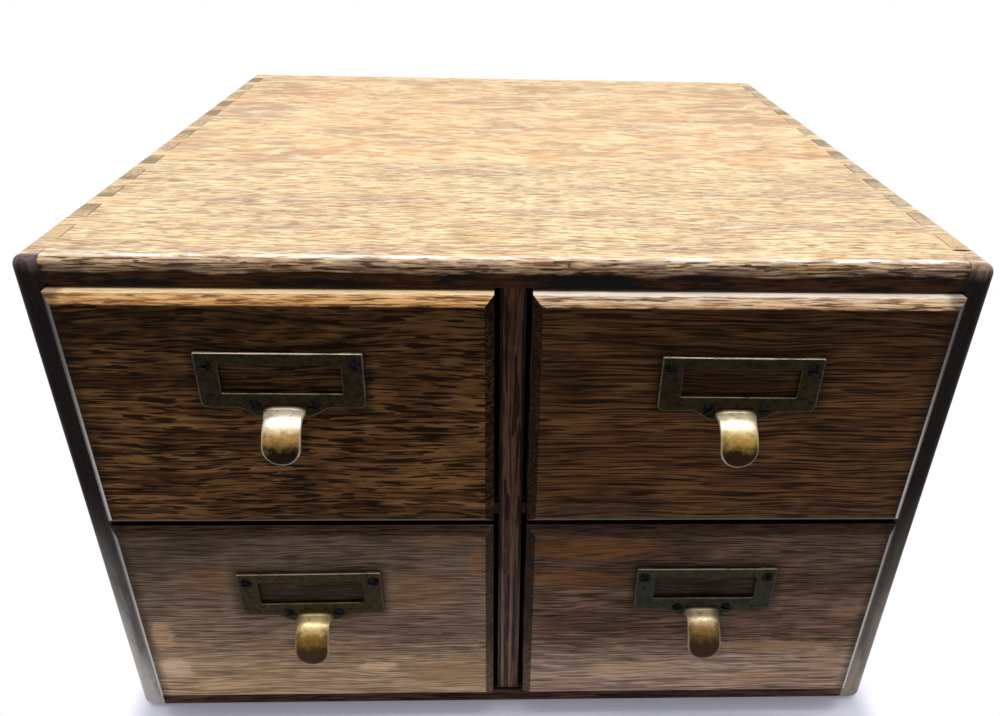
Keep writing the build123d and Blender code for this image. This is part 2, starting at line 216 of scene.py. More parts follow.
def case_top_board(name, seed, figure):
    """Top board: golden on the flat, pale on the rubbed arris with a painted highlight along it, and
    near-black low on the front edge.
    """
    made, tree, place, parts = start_material(name, "XYZ", seed)
    colour, height, streak, _ = oak_figure(tree, place, **figure)
    facing = surface_facing(tree)
    from_front = node(tree, minus, parts["Y"], case_front)
    worn = speckle(tree, place, (22, 5, 3), 4.0, 0.65)
    down = node(tree, minus, case_height, parts["Z"])
    edge = node(tree, smooth, from_front, front_arris, front_arris / 2)

    rubbed = frayed(tree, node(tree, times, down, 1000.0), worn, 4.0)
    lines = node(tree, smooth, speckle(tree, place, (12, 1.0, 0.8), 3.0, 0.65), *soft_step)
    brown_band = node(tree, mixed, lines, shade("936848"), shade("ffdcb0"))
    ashy = node(tree, smooth, speckle(tree, place, (26, 12, 5), 3.0, 0.6), 0.50, 0.62, 0.0, 0.5)
    brown_band = node(tree, mixed, ashy, brown_band, shade("a9928c"))
    browned = node(tree, times, edge, node(tree, smooth, rubbed, 1.4, 3.2))
    colour = node(tree, mixed, browned, colour, brown_band)
    cracks = node(tree, smooth, speckle(tree, place, (10, 0.9, 0.7), 1.0, 0.4), 0.57, 0.61, 0.0, 0.8)
    colour = node(tree, mixed, node(tree, times, cracks, edge), colour, shade("2b1a10"))
    dark_band = node(tree, mixed, node(tree, times, lines, 0.7), shade("1f1009"), shade("6a4226"))
    darkest = node(tree, smooth, speckle(tree, place, (30, 20, 7), 3.0, 0.6), 0.46, 0.56)
    dark_band = node(tree, mixed, darkest, dark_band, shade("060506"))
    border = frayed(tree, rubbed, speckle(tree, place, (34, 30, 30), 4.0), 7.0)
    darkened = node(tree, times, edge, node(tree, smooth, border, 9.8, 11.3))
    colour = node(tree, mixed, darkened, colour, dark_band)

    # Painted highlight along the rounded front arris, interrupted here and there by a noise.
    back = frayed(tree, from_front, worn, 0.0016)
    arris = node(tree, smooth, apart(tree, back, 0.0038), 0.0017, 0.0006)
    arris = node(tree, times, arris, node(tree, smooth, facing["Z"], 0.6, 0.8))
    broken_highlight = node(tree, smooth, speckle(tree, place, (18, 4, 3), 4.0, 0.7), 0.42, 0.56, 0.15, 1.0)
    colour = node(tree, mixed, node(tree, times, arris, broken_highlight), colour, shade("fffaf0"))
    from_joint = node(tree, minus, case_half_width - side_wall, node(tree, size_of, parts["X"]))
    smudge = node(tree, smooth, node(tree, minus, from_joint, node(tree, times, worn, 0.006)), 0.0, -0.0022)
    smudge = node(tree, times, node(tree, times, smudge, edge),
                  node(tree, smooth, down, 0.0015, 0.004, 0.0, 0.9))
    colour = node(tree, mixed, smudge, colour, shade("110d0d"))
    nick = node(tree, times, node(tree, smooth, speckle(tree, place, (9, 3, 2), 3.0), 0.64, 0.67), edge)
    colour = node(tree, mixed, node(tree, times, nick, 0.8), colour, shade("3a2517"))

    tail_end = node(tree, smooth, node(tree, size_of, facing["X"]), 0.6, 0.85)
    ends = node(tree, smooth, speckle(tree, place, (3, 1.2, 0.5), 3.0, 0.6), *soft_step)
    end_colour = node(tree, mixed, ends, shade("3d2a1a"), shade("7d5f3e"))
    colour = node(tree, mixed, tail_end, colour, end_colour)
    joints = node(tree, times, joint_lines(tree, parts), 0.55)
    colour = node(tree, mixed, joints, colour, shade("3d2a1c"))
    seam = node(tree, smooth, apart(tree, parts["Y"], seam_y), 0.0006, 0.0001)
    seam = node(tree, times, seam, node(tree, smooth, parts["X"], 0.02, -0.14, 0.1, 0.85))
    colour = node(tree, mixed, seam, colour, shade("4f3b29"))
    colour = node(tree, mixed, open_joint(tree, parts, worn), colour, shade("0a0706"))
    rough = node(tree, smooth, streak, *whole_span, 0.42, 0.58)
    finish_wood(tree, colour, height, rough, gloss=0.08, depth=0.10)
    return made


front_board_figure = dict(
    dark="d3a270", light="ffe8bc", pore="8a6344", fleck="fff2c4", patch="c2a28c",
    pore_size=(8, 0.9, 1.4), pore_edge=(0.57, 0.62), pore_amount=0.65, hair_amount=0.5,
    fleck_size=(10, 1.4, 2), fleck_amount=0.6, fleck_edge=(0.48, 0.60), swirl=0.5,
    patch_size=(80, 15, 40), patch_amount=0.7, ring=0.9, ring_run=18, sway=3.0)
back_board_figure = dict(
    dark="d6a06c", light="ffdcac", pore="9b7556", fleck="fff0c4", patch="bf9c80",
    pore_size=(8, 1.0, 1.5), pore_edge=(0.58, 0.64), pore_amount=0.45, hair_amount=0.35,
    fleck_size=(24, 9, 9), fleck_amount=0.6, fleck_edge=(0.42, 0.64), swirl=1.3,
    patch_size=(50, 22, 30), patch_amount=0.7, ring=1.6, ring_run=14, sway=9.0)
dress(["case_top_front_board"], case_top_board("quarter_sawn_oak_top_front", 1.0, front_board_figure))
dress(["case_top_back_board"], case_top_board("quarter_sawn_oak_top_back", 2.0, back_board_figure))

# Case sides. Oak boards with the grain upright, so the pins show as end grain between
# the tails of the top; the finish is nearly black on the front edges.

side_figure = dict(dark="35220f", light="6b4a2c", pore="0d0704", fleck="7a5735", patch="40301f",
                   pore_amount=0.85, hair_amount=0.4, fleck_size=(20, 4, 4), fleck_amount=0.3)


def case_side_board(name, seed, end_dark, end_light, corner_tone, foot):
    """Side board: face grain upright, grey-brown end grain where the surface faces up, dark front edge
    that is rubbed grey towards the foot, most near its outer side, and a painted reflection of the white
    surroundings along its outer arris, brighter low down."""
    made, tree, place, parts = start_material(name, "ZYX", seed)
    colour, height, streak, _ = oak_figure(tree, place, **side_figure)
    facing = surface_facing(tree)
    off_centre = node(tree, size_of, parts["X"])

    ends = speckle(tree, place, (1.2, 2.6, 0.5), 3.0, 0.6)
    end_colour = node(tree, mixed, node(tree, smooth, ends, *soft_step), shade(end_dark), shade(end_light))
    each_pin = node(tree, smooth, speckle(tree, place, (300, 27, 60), 1.0, 0.5), 0.44, 0.6, 0.0, 0.7)
    end_colour = node(tree, mixed, each_pin, end_colour, shade("87745f"))
    near_front = node(tree, smooth, parts["Y"], -0.105, -0.135, 0.0, 0.75)
    end_colour = node(tree, mixed, near_front, end_colour, shade("e3c292"))
    at_corner = node(tree, smooth, parts["Y"], case_front + front_arris, case_front + front_arris - 0.001)
    end_colour = node(tree, mixed, at_corner, end_colour, shade(corner_tone))
    upward = node(tree, smooth, facing["Z"], 0.55, 0.85)
    colour = node(tree, mixed, upward, colour, end_colour)

    low = node(tree, smooth, frayed(tree, parts["Z"], streak, 0.05), 0.165, 0.045)
    rubbed = node(tree, smooth, speckle(tree, place, (22, 5, 5), 4.0, 0.65), 0.38, 0.58, 0.7, 1.0)
    outer_half = node(tree, smooth, off_centre, case_half_width - 0.0065, case_half_width - 0.0030, 0.45, 1.0)
    at_foot = node(tree, smooth, parts["Z"], 0.055, 0.020)
    low = node(tree, times, node(tree, times, low, rubbed), node(tree, larger, outer_half, at_foot))
    edge_colour = node(tree, mixed, low, shade("1a1415"), shade(foot))
    crown = node(tree, smooth, frayed(tree, parts["Z"], streak, 0.004), case_height - 0.005, case_height)
    crown = node(tree, times, crown, node(tree, smooth, streak, 0.4, 0.6, 0.4, 1.0))
    edge_colour = node(tree, mixed, crown, edge_colour, shade(corner_tone))
    forward = node(tree, smooth, facing["Y"], -0.2, -0.6)
    colour = node(tree, mixed, node(tree, times, forward, 0.92), colour, edge_colour)
    # Painted reflection of the white surroundings on the outer arris, brighter low down.
    arris = node(tree, smooth, off_centre, case_half_width - 0.0016, case_half_width - 0.0006)
    arris = node(tree, times, arris, node(tree, smooth, parts["Z"], 0.20, 0.08, 0.15, 0.8))
    colour = node(tree, mixed, node(tree, times, arris, forward), colour, shade("9c9892"))

    lines = node(tree, times, joint_lines(tree, parts), upward)
    colour = node(tree, mixed, node(tree, times, lines, 0.85), colour, shade("2a1d13"))
    colour = node(tree, mixed, open_joint(tree, parts, ends), colour, shade("0a0706"))
    rough = node(tree, smooth, streak, *whole_span, 0.4, 0.56)
    finish_wood(tree, colour, height, rough, gloss=0.06, depth=0.12)
    return made


dress(["case_left_side"], case_side_board("oak_side_left", 3.0, "a88e70", "d6bb92", "8a7876", "ece7e3"))
dress(["case_right_side"], case_side_board("oak_side_right", 4.0, "a5927a", "d0bc9c", "c2a68c", "c0b6aa"))

# Case bottom, partition and shelves. Oak from the same stock: the bottom keeps its dark
# reddish finish, the partition shows upright grain between the drawers, the shelves are raw inside.

partition_figure = dict(dark="4c2f24", light="8a624d", pore="120906", fleck="94705a", patch="2f1f15",
                        pore_size=(22, 1.0, 1.0), pore_amount=0.85, hair_amount=0.5, ring=1.2, sway=1.5)


def plain_oak(name, axes, seed, dark, light, pore, patch, rough_from=0.4, gloss=0.3, **figure):
    """A board in two tones of oak, its ray fleck as pale as its light rings."""
    made, tree, place, _ = start_material(name, axes, seed)
    colour, height, streak, _ = oak_figure(tree, place, dark, light, pore, light, patch, **figure)
    rough = node(tree, smooth, streak, *whole_span, rough_from, rough_from + 0.14)
    finish_wood(tree, colour, height, rough, gloss, depth=0.12)
    return made


def partition_board(name, seed):
    """Partition: upright grain, streaked paler low down, and painted shadow along both arrises, fainter near
    the foot.
    """
    made, tree, place, parts = start_material(name, "ZXY", seed)
    colour, height, streak, _ = oak_figure(tree, place, **partition_figure)
    low = node(tree, smooth, frayed(tree, parts["Z"], streak, 0.06), 0.17, 0.06)
    pale = node(tree, times, low, node(tree, smooth, streak, 0.44, 0.6, 0.1, 0.75))
    colour = node(tree, mixed, pale, colour, shade("b39c8c"))
    # Painted shadow along both arrises, where the proud drawer fronts shade the partition.
    rim = node(tree, smooth, node(tree, size_of, parts["X"]), 0.0032, 0.0042, 0.0, 0.85)
    rim = node(tree, times, rim, node(tree, smooth, parts["Z"], 0.04, 0.12, 0.3, 1.0))
    colour = node(tree, mixed, rim, colour, shade("0f0a09"))
    rough = node(tree, smooth, streak, *whole_span, 0.4, 0.54)
    finish_wood(tree, colour, height, rough, gloss=0.05, depth=0.12)
    return made


dress(["case_bottom"], plain_oak("oak_bottom", "XYZ", 5.0, "472e23", "86634d", "1a0e0a", "4d3428",
                                 gloss=0.08, pore_size=(26, 1.2, 1.0), ring=1.4))
dress(["centre_partition"], partition_board("oak_partition", 6.0))
dress(["left_shelf", "right_shelf"],
      plain_oak("raw_oak_shelf", "XYZ", 7.0, "7b5c3d", "a3835b", "3b2919", "6b5138", pore_amount=0.6))

# Back panel and its nails. A thin raw oak board, dull brown, let into a rebate and held
# by round-headed steel nails that have rusted.

dress(["back_panel"],
      plain_oak("raw_oak_panel", "XZY", 8.0, "6b4d31", "96744d", "2c1c10", "5d452e", rough_from=0.55,
                gloss=0.25, pore_amount=0.6, fleck_size=(26, 7, 6), fleck_amount=0.4, swirl=1.0))


def dull_steel(name, seed, bright, rust, rust_amount, rough):
    """Steel with a patchy skin of oxide about 1.6 mm from patch to patch: dull where it has taken, metal
    where it is rubbed off."""
    made, tree, place, _ = start_material(name, "XYZ", seed)
    patch = speckle(tree, place, (1.6, 1.6, 1.6), 4.0, 0.6)
    cover = node(tree, smooth, patch, 0.42, 0.6, 0.0, rust_amount)
    bump = node(tree, "Bump", {"Strength": 0.6, "Distance": 0.00008, "Height": patch})
    shader = node(tree, "BsdfPrincipled", {
        "Base Color": node(tree, mixed, cover, shade(bright), shade(rust)),
        "Metallic": node(tree, minus, 1.0, cover),
        "Roughness": node(tree, smooth, patch, *whole_span, rough, rough + 0.2),
        "Normal": bump, "Specular IOR Level": 0.2})
    node(tree, "OutputMaterial", shader)
    return made


dress(["back_panel_nails"], dull_steel("rusted_nail_steel", 9.0, "77716b", "4a3023", 0.8, 0.45))

# Drawer fronts. Quarter-sawn oak slabs with a bevel cut round the face, dovetailed to the
# drawer sides. The finish is dark on the face, rubbed to bright orange on the upward bevels of the
# upper pair, and worn through in tan spots low down on the lower pair.

# How far the middle of the label plate lies below the top of the front.
plate_drop = 0.0340


def drawer_front(name, piece, side, seed, figure, bevel, arris, lid_colour_and_gap_shade, floor_reflection, worn, worn_amount,
                 worn_height, top_shade, shadow, gloss, reflection_reach, spots=()):
    """Drawer front. On the figure lie a worn band along the bottom, painted shade along the top, worn spots
    (centre and half size in mm on X and Z, colour, amount), the rubbed upper bevel with a painted highlight
    on its arris, its top face (near-black painted gap shade on the lower pair), painted shade in the label
    plate's window with a painted shadow round the plate, the end bevels, dark, with a painted reflection low
    on the outer one, a painted floor reflection on the bottom bevel, and painted shade on the faces that look
    down into the gaps.
    Heights are in metres."""
    low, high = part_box(piece)
    made, tree, place, parts = start_material(name, "XZY", seed)
    colour, height, streak, marks = oak_figure(tree, place, **figure)
    facing = surface_facing(tree)
    ragged = speckle(tree, place, (9, 3, 3), 4.0, 0.6)
    from_top = node(tree, minus, high.z, parts["Z"])
    from_bottom = node(tree, minus, parts["Z"], low.z)
    kept = node(tree, minus, 1.0, node(tree, times, marks, 0.75))

    wavy = uneven(tree, from_bottom, ragged, 0.03)
    rubbed_low = node(tree, smooth, wavy, worn_height * 1.5, worn_height * 0.5, 0.0, worn_amount)
    worn_colour = node(tree, mixed, node(tree, smooth, streak, 0.4, 0.6), shade(worn[0]), shade(worn[1]))
    colour = node(tree, mixed, node(tree, times, rubbed_low, kept), colour, worn_colour)
    # Painted shade across the top of the face, under the upper bevel, fading downwards.
    painted_top_shade = node(tree, smooth, uneven(tree, from_top, ragged, 0.03), 0.045, 0.004, 0.0, top_shade)
    colour = node(tree, mixed, painted_top_shade, colour, shade("1d1109"))
    for centre, half_size, code, amount in spots:
        spot = blot(tree, parts["X"], parts["Z"], centre, half_size, ragged)
        spot = node(tree, times, node(tree, times, spot, amount), kept)
        colour = node(tree, mixed, spot, colour, shade(code))

    lines = speckle(tree, place, (14, 0.8, 0.9), 3.0, 0.65)
    rubbed = node(tree, mixed, node(tree, smooth, lines, 0.36, 0.58), shade(bevel[0]), shade(bevel[1]))
    lower_bevel = node(tree, smooth, from_top, 0.0014, 0.0038, 0.0, 0.6)
    rubbed = node(tree, mixed, lower_bevel, rubbed, shade(bevel[0]))
    cracks = node(tree, smooth, speckle(tree, place, (12, 0.8, 0.8), 1.0, 0.4), 0.58, 0.62, 0.0, 0.7)
    rubbed = node(tree, mixed, cracks, rubbed, shade("2a180c"))
    slope = frayed(tree, node(tree, times, from_top, 1000.0), ragged, 3.2)
    upward = node(tree, times, node(tree, smooth, facing["Z"], 0.25, 0.5),
                  node(tree, smooth, slope, 5.6, 4.4))
    colour = node(tree, mixed, upward, colour, rubbed)
    # Top face: pale wood on the upper pair; painted near-black on the lower pair as the gap's shade.
    lid_code, lid_amount = lid_colour_and_gap_shade
    flat = node(tree, times, node(tree, smooth, facing["Z"], 0.93, 0.99),
                node(tree, smooth, lines, 0.36, 0.56, lid_amount * 0.6, lid_amount))
    colour = node(tree, mixed, flat, colour, shade(lid_code))

    # Painted shade inside the label plate's window, and a painted shadow round the plate.
    aside = apart(tree, parts["X"], (low.x + high.x) / 2)
    above = apart(tree, parts["Z"], high.z - plate_drop)
    window = node(tree, times, node(tree, smooth, aside, 0.0300, 0.0285),
                  node(tree, smooth, above, 0.0112, 0.0100, 0.0, shadow))
    plate_shadow = node(tree, times, node(tree, smooth, aside, 0.0365, 0.0305),
                node(tree, smooth, above, 0.0175, 0.0120, 0.0, 0.5))
    colour = node(tree, mixed, node(tree, larger, window, plate_shadow), colour, shade("170d09"))
    # Painted highlight along the arris between the top face and the upper bevel, left out in places.
    arris_code, arris_amount = arris
    on_arris = node(tree, smooth, apart(tree, facing["Z"], 0.87), 0.13, 0.06)
    broken_highlight = node(tree, smooth, ragged, 0.36, 0.5, arris_amount * 0.3, arris_amount)
    colour = node(tree, mixed, node(tree, times, on_arris, broken_highlight), colour, shade(arris_code))

    to_edge = node(tree, minus, max(abs(low.x), abs(high.x)), node(tree, size_of, parts["X"]))
    soiled = node(tree, smooth, frayed(tree, to_edge, ragged, 0.006), 0.0115, 0.0070, 0.0, 0.55)
    colour = node(tree, mixed, soiled, colour, shade("1c1716"))
    sideways = node(tree, times, facing["X"], side)
    ends = node(tree, smooth, speckle(tree, place, (1.2, 2.4, 0.6), 3.0, 0.6), *soft_step)
    end_grain = node(tree, mixed, ends, shade("2a1c12"), shade("6a4c33"))
    cut_end = node(tree, smooth, node(tree, size_of, sideways), 0.9, 0.97)
    colour = node(tree, mixed, cut_end, colour, end_grain)
    # Outer end bevel: painted dark bluish grey, and low down a painted reflection of the white surroundings.
    outward = node(tree, times, node(tree, smooth, sideways, 0.3, 0.6),
                   node(tree, smooth, sideways, 0.97, 0.9))
    pale = node(tree, smooth, frayed(tree, from_bottom, ragged, 0.03), reflection_reach, 0.03, 0.25, 1.0)
    pale = node(tree, times, pale, node(tree, smooth, to_edge, 0.0010, 0.0022, 0.3, 1.0))
    colour = node(tree, mixed, node(tree, times, outward, 0.8), colour, shade("1d1b1e"))
    colour = node(tree, mixed, node(tree, times, outward, pale), colour, shade("e2dedc"))
    inward = node(tree, smooth, sideways, -0.3, -0.6, 0.0, 0.7)
    colour = node(tree, mixed, inward, colour, shade("140f0d"))
    rubbed_in = node(tree, smooth, node(tree, size_of, node(tree, plus, sideways, 0.88)), 0.08, 0.03)
    rubbed_in = node(tree, times, rubbed_in, node(tree, smooth, ragged, 0.4, 0.55, 0.1, 0.5))
    colour = node(tree, mixed, rubbed_in, colour, shade("8f857c"))
    # Painted reflection of the floor: a pale line on the bottom bevel.
    facing_floor = node(tree, smooth, facing["Z"], -0.25, -0.5)
    colour = node(tree, mixed, node(tree, times, facing_floor, 0.8), colour, shade(floor_reflection))
    # Painted shade, near-black, on faces that look down into the gaps close to the case.
    shaded_underside = node(tree, times, node(tree, smooth, facing["Z"], -0.9, -0.97),
                     node(tree, smooth, parts["Y"], case_front - 0.0036, case_front - 0.003))
    colour = node(tree, mixed, shaded_underside, colour, shade("0c0806"))
    rough = node(tree, smooth, streak, *whole_span, 0.38, 0.54)
    finish_wood(tree, colour, height, rough, gloss, depth=0.16)
    dress([piece], made)


drawer_front(
    "dark_oak_front_upper_left", "upper_left_drawer_front", side=-1, seed=11.0, figure=dict(
        dark="5f3c22", light="ab7b4e", pore="150b05", fleck="b8844e", patch="4c301a",
        pore_size=(13, 0.95, 1.4), pore_edge=(0.53, 0.57), pore_amount=0.92, hair_amount=0.6,
        fleck_size=(26, 9, 5), fleck_amount=0.35, swirl=0.8, patch_size=(40, 16, 40),
        patch_amount=0.65, ring=2.2),
    bevel=("a36a32", "ffcc8c"), arris=("fffaf0", 1.0), lid_colour_and_gap_shade=("ffe0ac", 0.9), floor_reflection="8d7d72",
    worn=("6b4a2b", "8a643c"), worn_amount=0.3, worn_height=0.010, top_shade=0.5, shadow=0.45, gloss=0.03,
    reflection_reach=0.11)
drawer_front(
    "dark_oak_front_upper_right", "upper_right_drawer_front", side=1, seed=12.0, figure=dict(
        dark="563620", light="926640", pore="0f0805", fleck="9e7244", patch="46301f",
        pore_size=(24, 0.8, 1.3), pore_edge=(0.535, 0.60), pore_amount=0.85, hair_amount=0.6,
        fleck_size=(30, 12, 5), fleck_amount=0.35, swirl=0.6, patch_size=(60, 26, 40),
        patch_amount=0.6, ring=1.2),
    bevel=("b8855a", "ffe0ba"), arris=("ffffff", 1.0), lid_colour_and_gap_shade=("fff2e4", 0.9), floor_reflection="8d8078",
    worn=("6b5440", "8a6f55"), worn_amount=0.35, worn_height=0.010, top_shade=0.35, shadow=0.4, gloss=0.03,
    reflection_reach=0.11)
drawer_front(
    "dark_oak_front_lower_left", "lower_left_drawer_front", side=-1, seed=13.0, figure=dict(
        dark="8c6f5a", light="c6a78f", pore="31221b", fleck="c6a790", patch="6a5246",
        pore_size=(18, 0.5, 1.2), pore_edge=(0.54, 0.60), pore_amount=0.72, hair_amount=0.6,
        fleck_size=(40, 16, 5), fleck_amount=0.35, swirl=0.5, patch_size=(70, 26, 40),
        patch_amount=0.45, ring=0.65, ring_run=60),
    bevel=("4a342a", "7d6152"), arris=("c9bcb0", 0.6), lid_colour_and_gap_shade=("120c0a", 0.95), floor_reflection="6a5749",
    worn=("c99f78", "ffdcb6"), worn_amount=0.95, worn_height=0.030, top_shade=0.45, shadow=0.8, gloss=0.05,
    reflection_reach=0.17, spots=(
        ((-156.6, 55.8), (5.5, 9.0), "e8bd96", 1.0), ((-154.4, 34.9), (8.5, 6.5), "ffdcbe", 1.0),
        ((-134, 23.3), (16, 4.4), "f4cca4", 0.9), ((-60.2, 35.0), (9.0, 3.4), "ffdab0", 1.0),
        ((-28.4, 29.6), (18.8, 7.4), "cfa47a", 0.8), ((-25.1, 111.1), (20, 3.8), "a87a50", 0.45),
        ((-14, 98), (4, 9), "b5824e", 0.55), ((-120, 88), (26, 9), "a0764e", 0.5),
        ((-40, 82), (20, 12), "a87e56", 0.5)))
drawer_front(
    "dark_oak_front_lower_right", "lower_right_drawer_front", side=1, seed=14.0, figure=dict(
        dark="725240", light="aa8670", pore="1e130e", fleck="b08b74", patch="513a30",
        pore_size=(18, 0.52, 1.2), pore_edge=(0.54, 0.60), pore_amount=0.82, hair_amount=0.65,
        fleck_size=(40, 16, 5), fleck_amount=0.35, swirl=0.5, patch_size=(70, 24, 40),
        patch_amount=0.55, ring=0.7, ring_run=60),
    bevel=("463128", "6f5649"), arris=("b8aca2", 0.35), lid_colour_and_gap_shade=("120c0a", 0.95), floor_reflection="6a5749",
    worn=("b4927c", "f6d6c0"), worn_amount=0.95, worn_height=0.030, top_shade=0.35, shadow=0.75, gloss=0.05,
    reflection_reach=0.17, spots=(
        ((37, 106), (30, 7), "8f5c30", 0.8), ((28, 88), (22, 6), "8f5c30", 0.75),
        ((128, 46), (34, 3.4), "c9a078", 0.8), ((60, 31), (30, 4), "e6c09a", 0.8),
        ((150, 34), (9, 9), "cfa88a", 0.8), ((120, 24), (26, 4), "d9aa86", 0.7)))

# Drawer boxes. Thin oak sides dovetailed into front and back, with a loose bottom in a
# groove: raw wood, as dull as the back panel and paler.

corners = [row + "_" + column for row in ("upper", "lower") for column in ("left", "right")]
raw_pores = dict(pore_amount=0.6)
side_wood = plain_oak("raw_oak_drawer_side", "YZX", 15.0, "8f7150", "bd9c72", "4a3623", "7c6146",
                      rough_from=0.55, gloss=0.25, **raw_pores)
back_wood = plain_oak("raw_oak_drawer_back", "XZY", 16.0, "8a6b4b", "b5936a", "4a3623", "7c6146",
                      rough_from=0.55, gloss=0.25, **raw_pores)
floor_wood = plain_oak("raw_oak_drawer_bottom", "XYZ", 17.0, "8a6b48", "b5946a", "463220", "7a5f43",
                       rough_from=0.6, gloss=0.2, **raw_pores)
for corner in corners:
    dress([corner + "_drawer_left_side", corner + "_drawer_right_side"], side_wood)
    dress([corner + "_drawer_back"], back_wood)
    dress([corner + "_drawer_bottom"], floor_wood)

# Card followers. A wedge of oak on a steel foot, both worn by handling; the foot is held
# in the slot of the drawer bottom and slides along it.

dress([corner + "_follower_block" for corner in corners],
      plain_oak("worn_oak_follower", "XZY", 18.0, "6a4a2b", "99754a", "2f1f12", "553b24", pore_amount=0.7))
dress([corner + "_follower_foot" for corner in corners],
      dull_steel("dull_foot_steel", 19.0, "8b8a88", "55483c", 0.35, 0.35))

# Label holders with finger pulls. Pressed from one brass sheet: a frame open at the top for
# the card, and a tongue bent forward and down as the pull; brown patina, rubbed bright at edges, with
# painted highlights and painted shade on the pull and the rims.

plate_width = 0.062
plate_height = 0.0232
plate_depth = 0.0018
plate_sheet = 0.0010
plate_corner = 0.0025
top_corner = 0.0006
card_mouth_half = 0.0243
window_half = 0.0225
window_top = 0.0048
window_height = 0.0122
window_corner = 0.0007
window_rim = 0.00035
outer_rim = 0.0005
shoulder_half = 0.0178
shoulder_drop = 0.0041
root_half = 0.0083
pull_half = 0.0074
pull_taper = 0.0070
pull_sheet = 0.0012
pull_start = 0.0224
pull_rim = 0.0006
pull_crown = 0.0007
root_radius = 0.0016
root_lean = math.radians(15)
run_length = 0.0025
bow_radius = 0.0136
bow_angle = math.radians(87)


def polyline_at(points, share):
    """Points at the given shares of a polyline's length, from its running length."""
    points = np.asarray(points, float)
    steps = np.hypot(*np.diff(points, axis=0).T)
    along = np.concatenate([[0], np.cumsum(steps)])
    return np.stack([np.interp(share * along[-1], along, points[:, i]) for i in (0, 1)], axis=1)


def arc(cx, cz, radius, start, end, count):
    """Points on a circle from one angle to another, in degrees."""
    turn = np.radians(np.linspace(start, end, count))
    return np.stack([cx + radius * np.cos(turn), cz + radius * np.sin(turn)], axis=1)


def grid_faces(rows, columns, close_rows):
    """Quads between neighbours of a grid of points, joined round along the columns and, if wished, the
    rows."""
    i = np.arange(rows if close_rows else rows - 1)
    i, j = np.meshgrid(i, np.arange(columns), indexing="ij")
    k, m = (i + 1) % rows, (j + 1) % columns
    return np.stack([i * columns + j, k * columns + j, k * columns + m, i * columns + m],
                    axis=-1).reshape(-1, 4)


def holder_outlines():
    """Matching points on the window's edge and on the plate's outline: the right half from the top
    middle down the side, along the shoulder to the notch and over the pull's root to the middle, then
    mirrored. Each stretch has as many points on both."""
    low = -plate_height
    half = plate_width / 2
    top, bottom, ease = -window_top, -window_top - window_height, window_corner
    dip = np.linspace(0, 1, 14)
    shoulder = np.stack([shoulder_half + (root_half - shoulder_half) * dip,
                         low - shoulder_drop * (0.5 - 0.5 * np.cos(np.pi * dip ** 0.9))], axis=1)
    root_end = -pull_start - 0.0004
    outer = [np.array([[0, 0], [half - top_corner, 0]]),
             arc(half - top_corner, -top_corner, top_corner, 90, 0, 6),
             np.array([[half, -top_corner], [half, low + plate_corner]]),
             arc(half - plate_corner, low + plate_corner, plate_corner, 0, -90, 10),
             np.concatenate([[[half - plate_corner, low]], shoulder]),
             np.array([[root_half, low - shoulder_drop], [root_half, root_end]]),
             np.array([[root_half, root_end], [0, root_end]])]
    inner = [np.array([[0, top], [window_half - ease, top]]),
             arc(window_half - ease, top - ease, ease, 90, 0, 6),
             np.array([[window_half, top - ease], [window_half, bottom + ease]]),
             arc(window_half - ease, bottom + ease, ease, 0, -90, 10),
             np.array([[window_half - ease, bottom], [root_half, bottom]]),
             np.array([[root_half, bottom], [root_half * 0.97, bottom]]),
             np.array([[root_half * 0.97, bottom], [0, bottom]])]
    counts = (16, 6, 12, 10, 28, 4, 10)
    sides = []
    for side in (inner, outer):
        pieces = [polyline_at(run, np.linspace(0, 1, n, endpoint=False)) for run, n in zip(side, counts)]
        right = np.concatenate(pieces + [side[-1][-1:]])
        sides.append(np.concatenate([right, (right * [-1, 1])[-2:0:-1]]))
    return sides


def plate_grid():
    """Plate as a closed ring: the cross-section runs from the window's back edge over a rounded rim,
    across the face and round the outer rim to the back; its share of the way blends the two outlines."""
    inner, outer = holder_outlines()
    way = outer - inner
    length = np.hypot(way[:, 0], way[:, 1])[:, None]
    rim = np.radians(np.linspace(0, 90, 6))
    at_mouth = (np.abs(outer[:, 0]) < card_mouth_half) & (outer[:, 1] > -0.001)
    back = np.where(at_mouth, plate_sheet, plate_depth)[:, None]
    runs = [(np.zeros_like(length), plate_sheet, 0.0)]
    runs += [(np.full_like(length, window_rim * (1 - math.cos(a))), window_rim * (1 - math.sin(a)),
              0.1 + 0.4 * math.sin(2 * a)) for a in rim]
    runs += [(length * share, 0.0, 0.0) for share in np.linspace(0.08, 0.92, 9)]
    runs += [(length - outer_rim * (1 - math.cos(a)), outer_rim * (1 - math.sin(a)),
              0.3 + 0.7 * math.sin(2 * a)) for a in rim[::-1]]
    runs += [(length, back, 0.0), (length * 0.55, back, 0.0), (length * 0.5, plate_sheet, 0.0)]
    offset = np.concatenate([run[0] for run in runs], axis=1)
    depth = np.concatenate([np.broadcast_to(run[1], length.shape) for run in runs], axis=1)
    wear = np.concatenate([np.full(length.shape, run[2]) for run in runs], axis=1)
    unit = way / length
    x = inner[:, :1] + unit[:, :1] * offset
    z = inner[:, 1:] + unit[:, 1:] * offset
    points = np.stack([x, depth, z], axis=-1).reshape(-1, 3)
    return points, grid_faces(x.shape[0], x.shape[1], close_rows=True), wear.reshape(-1)


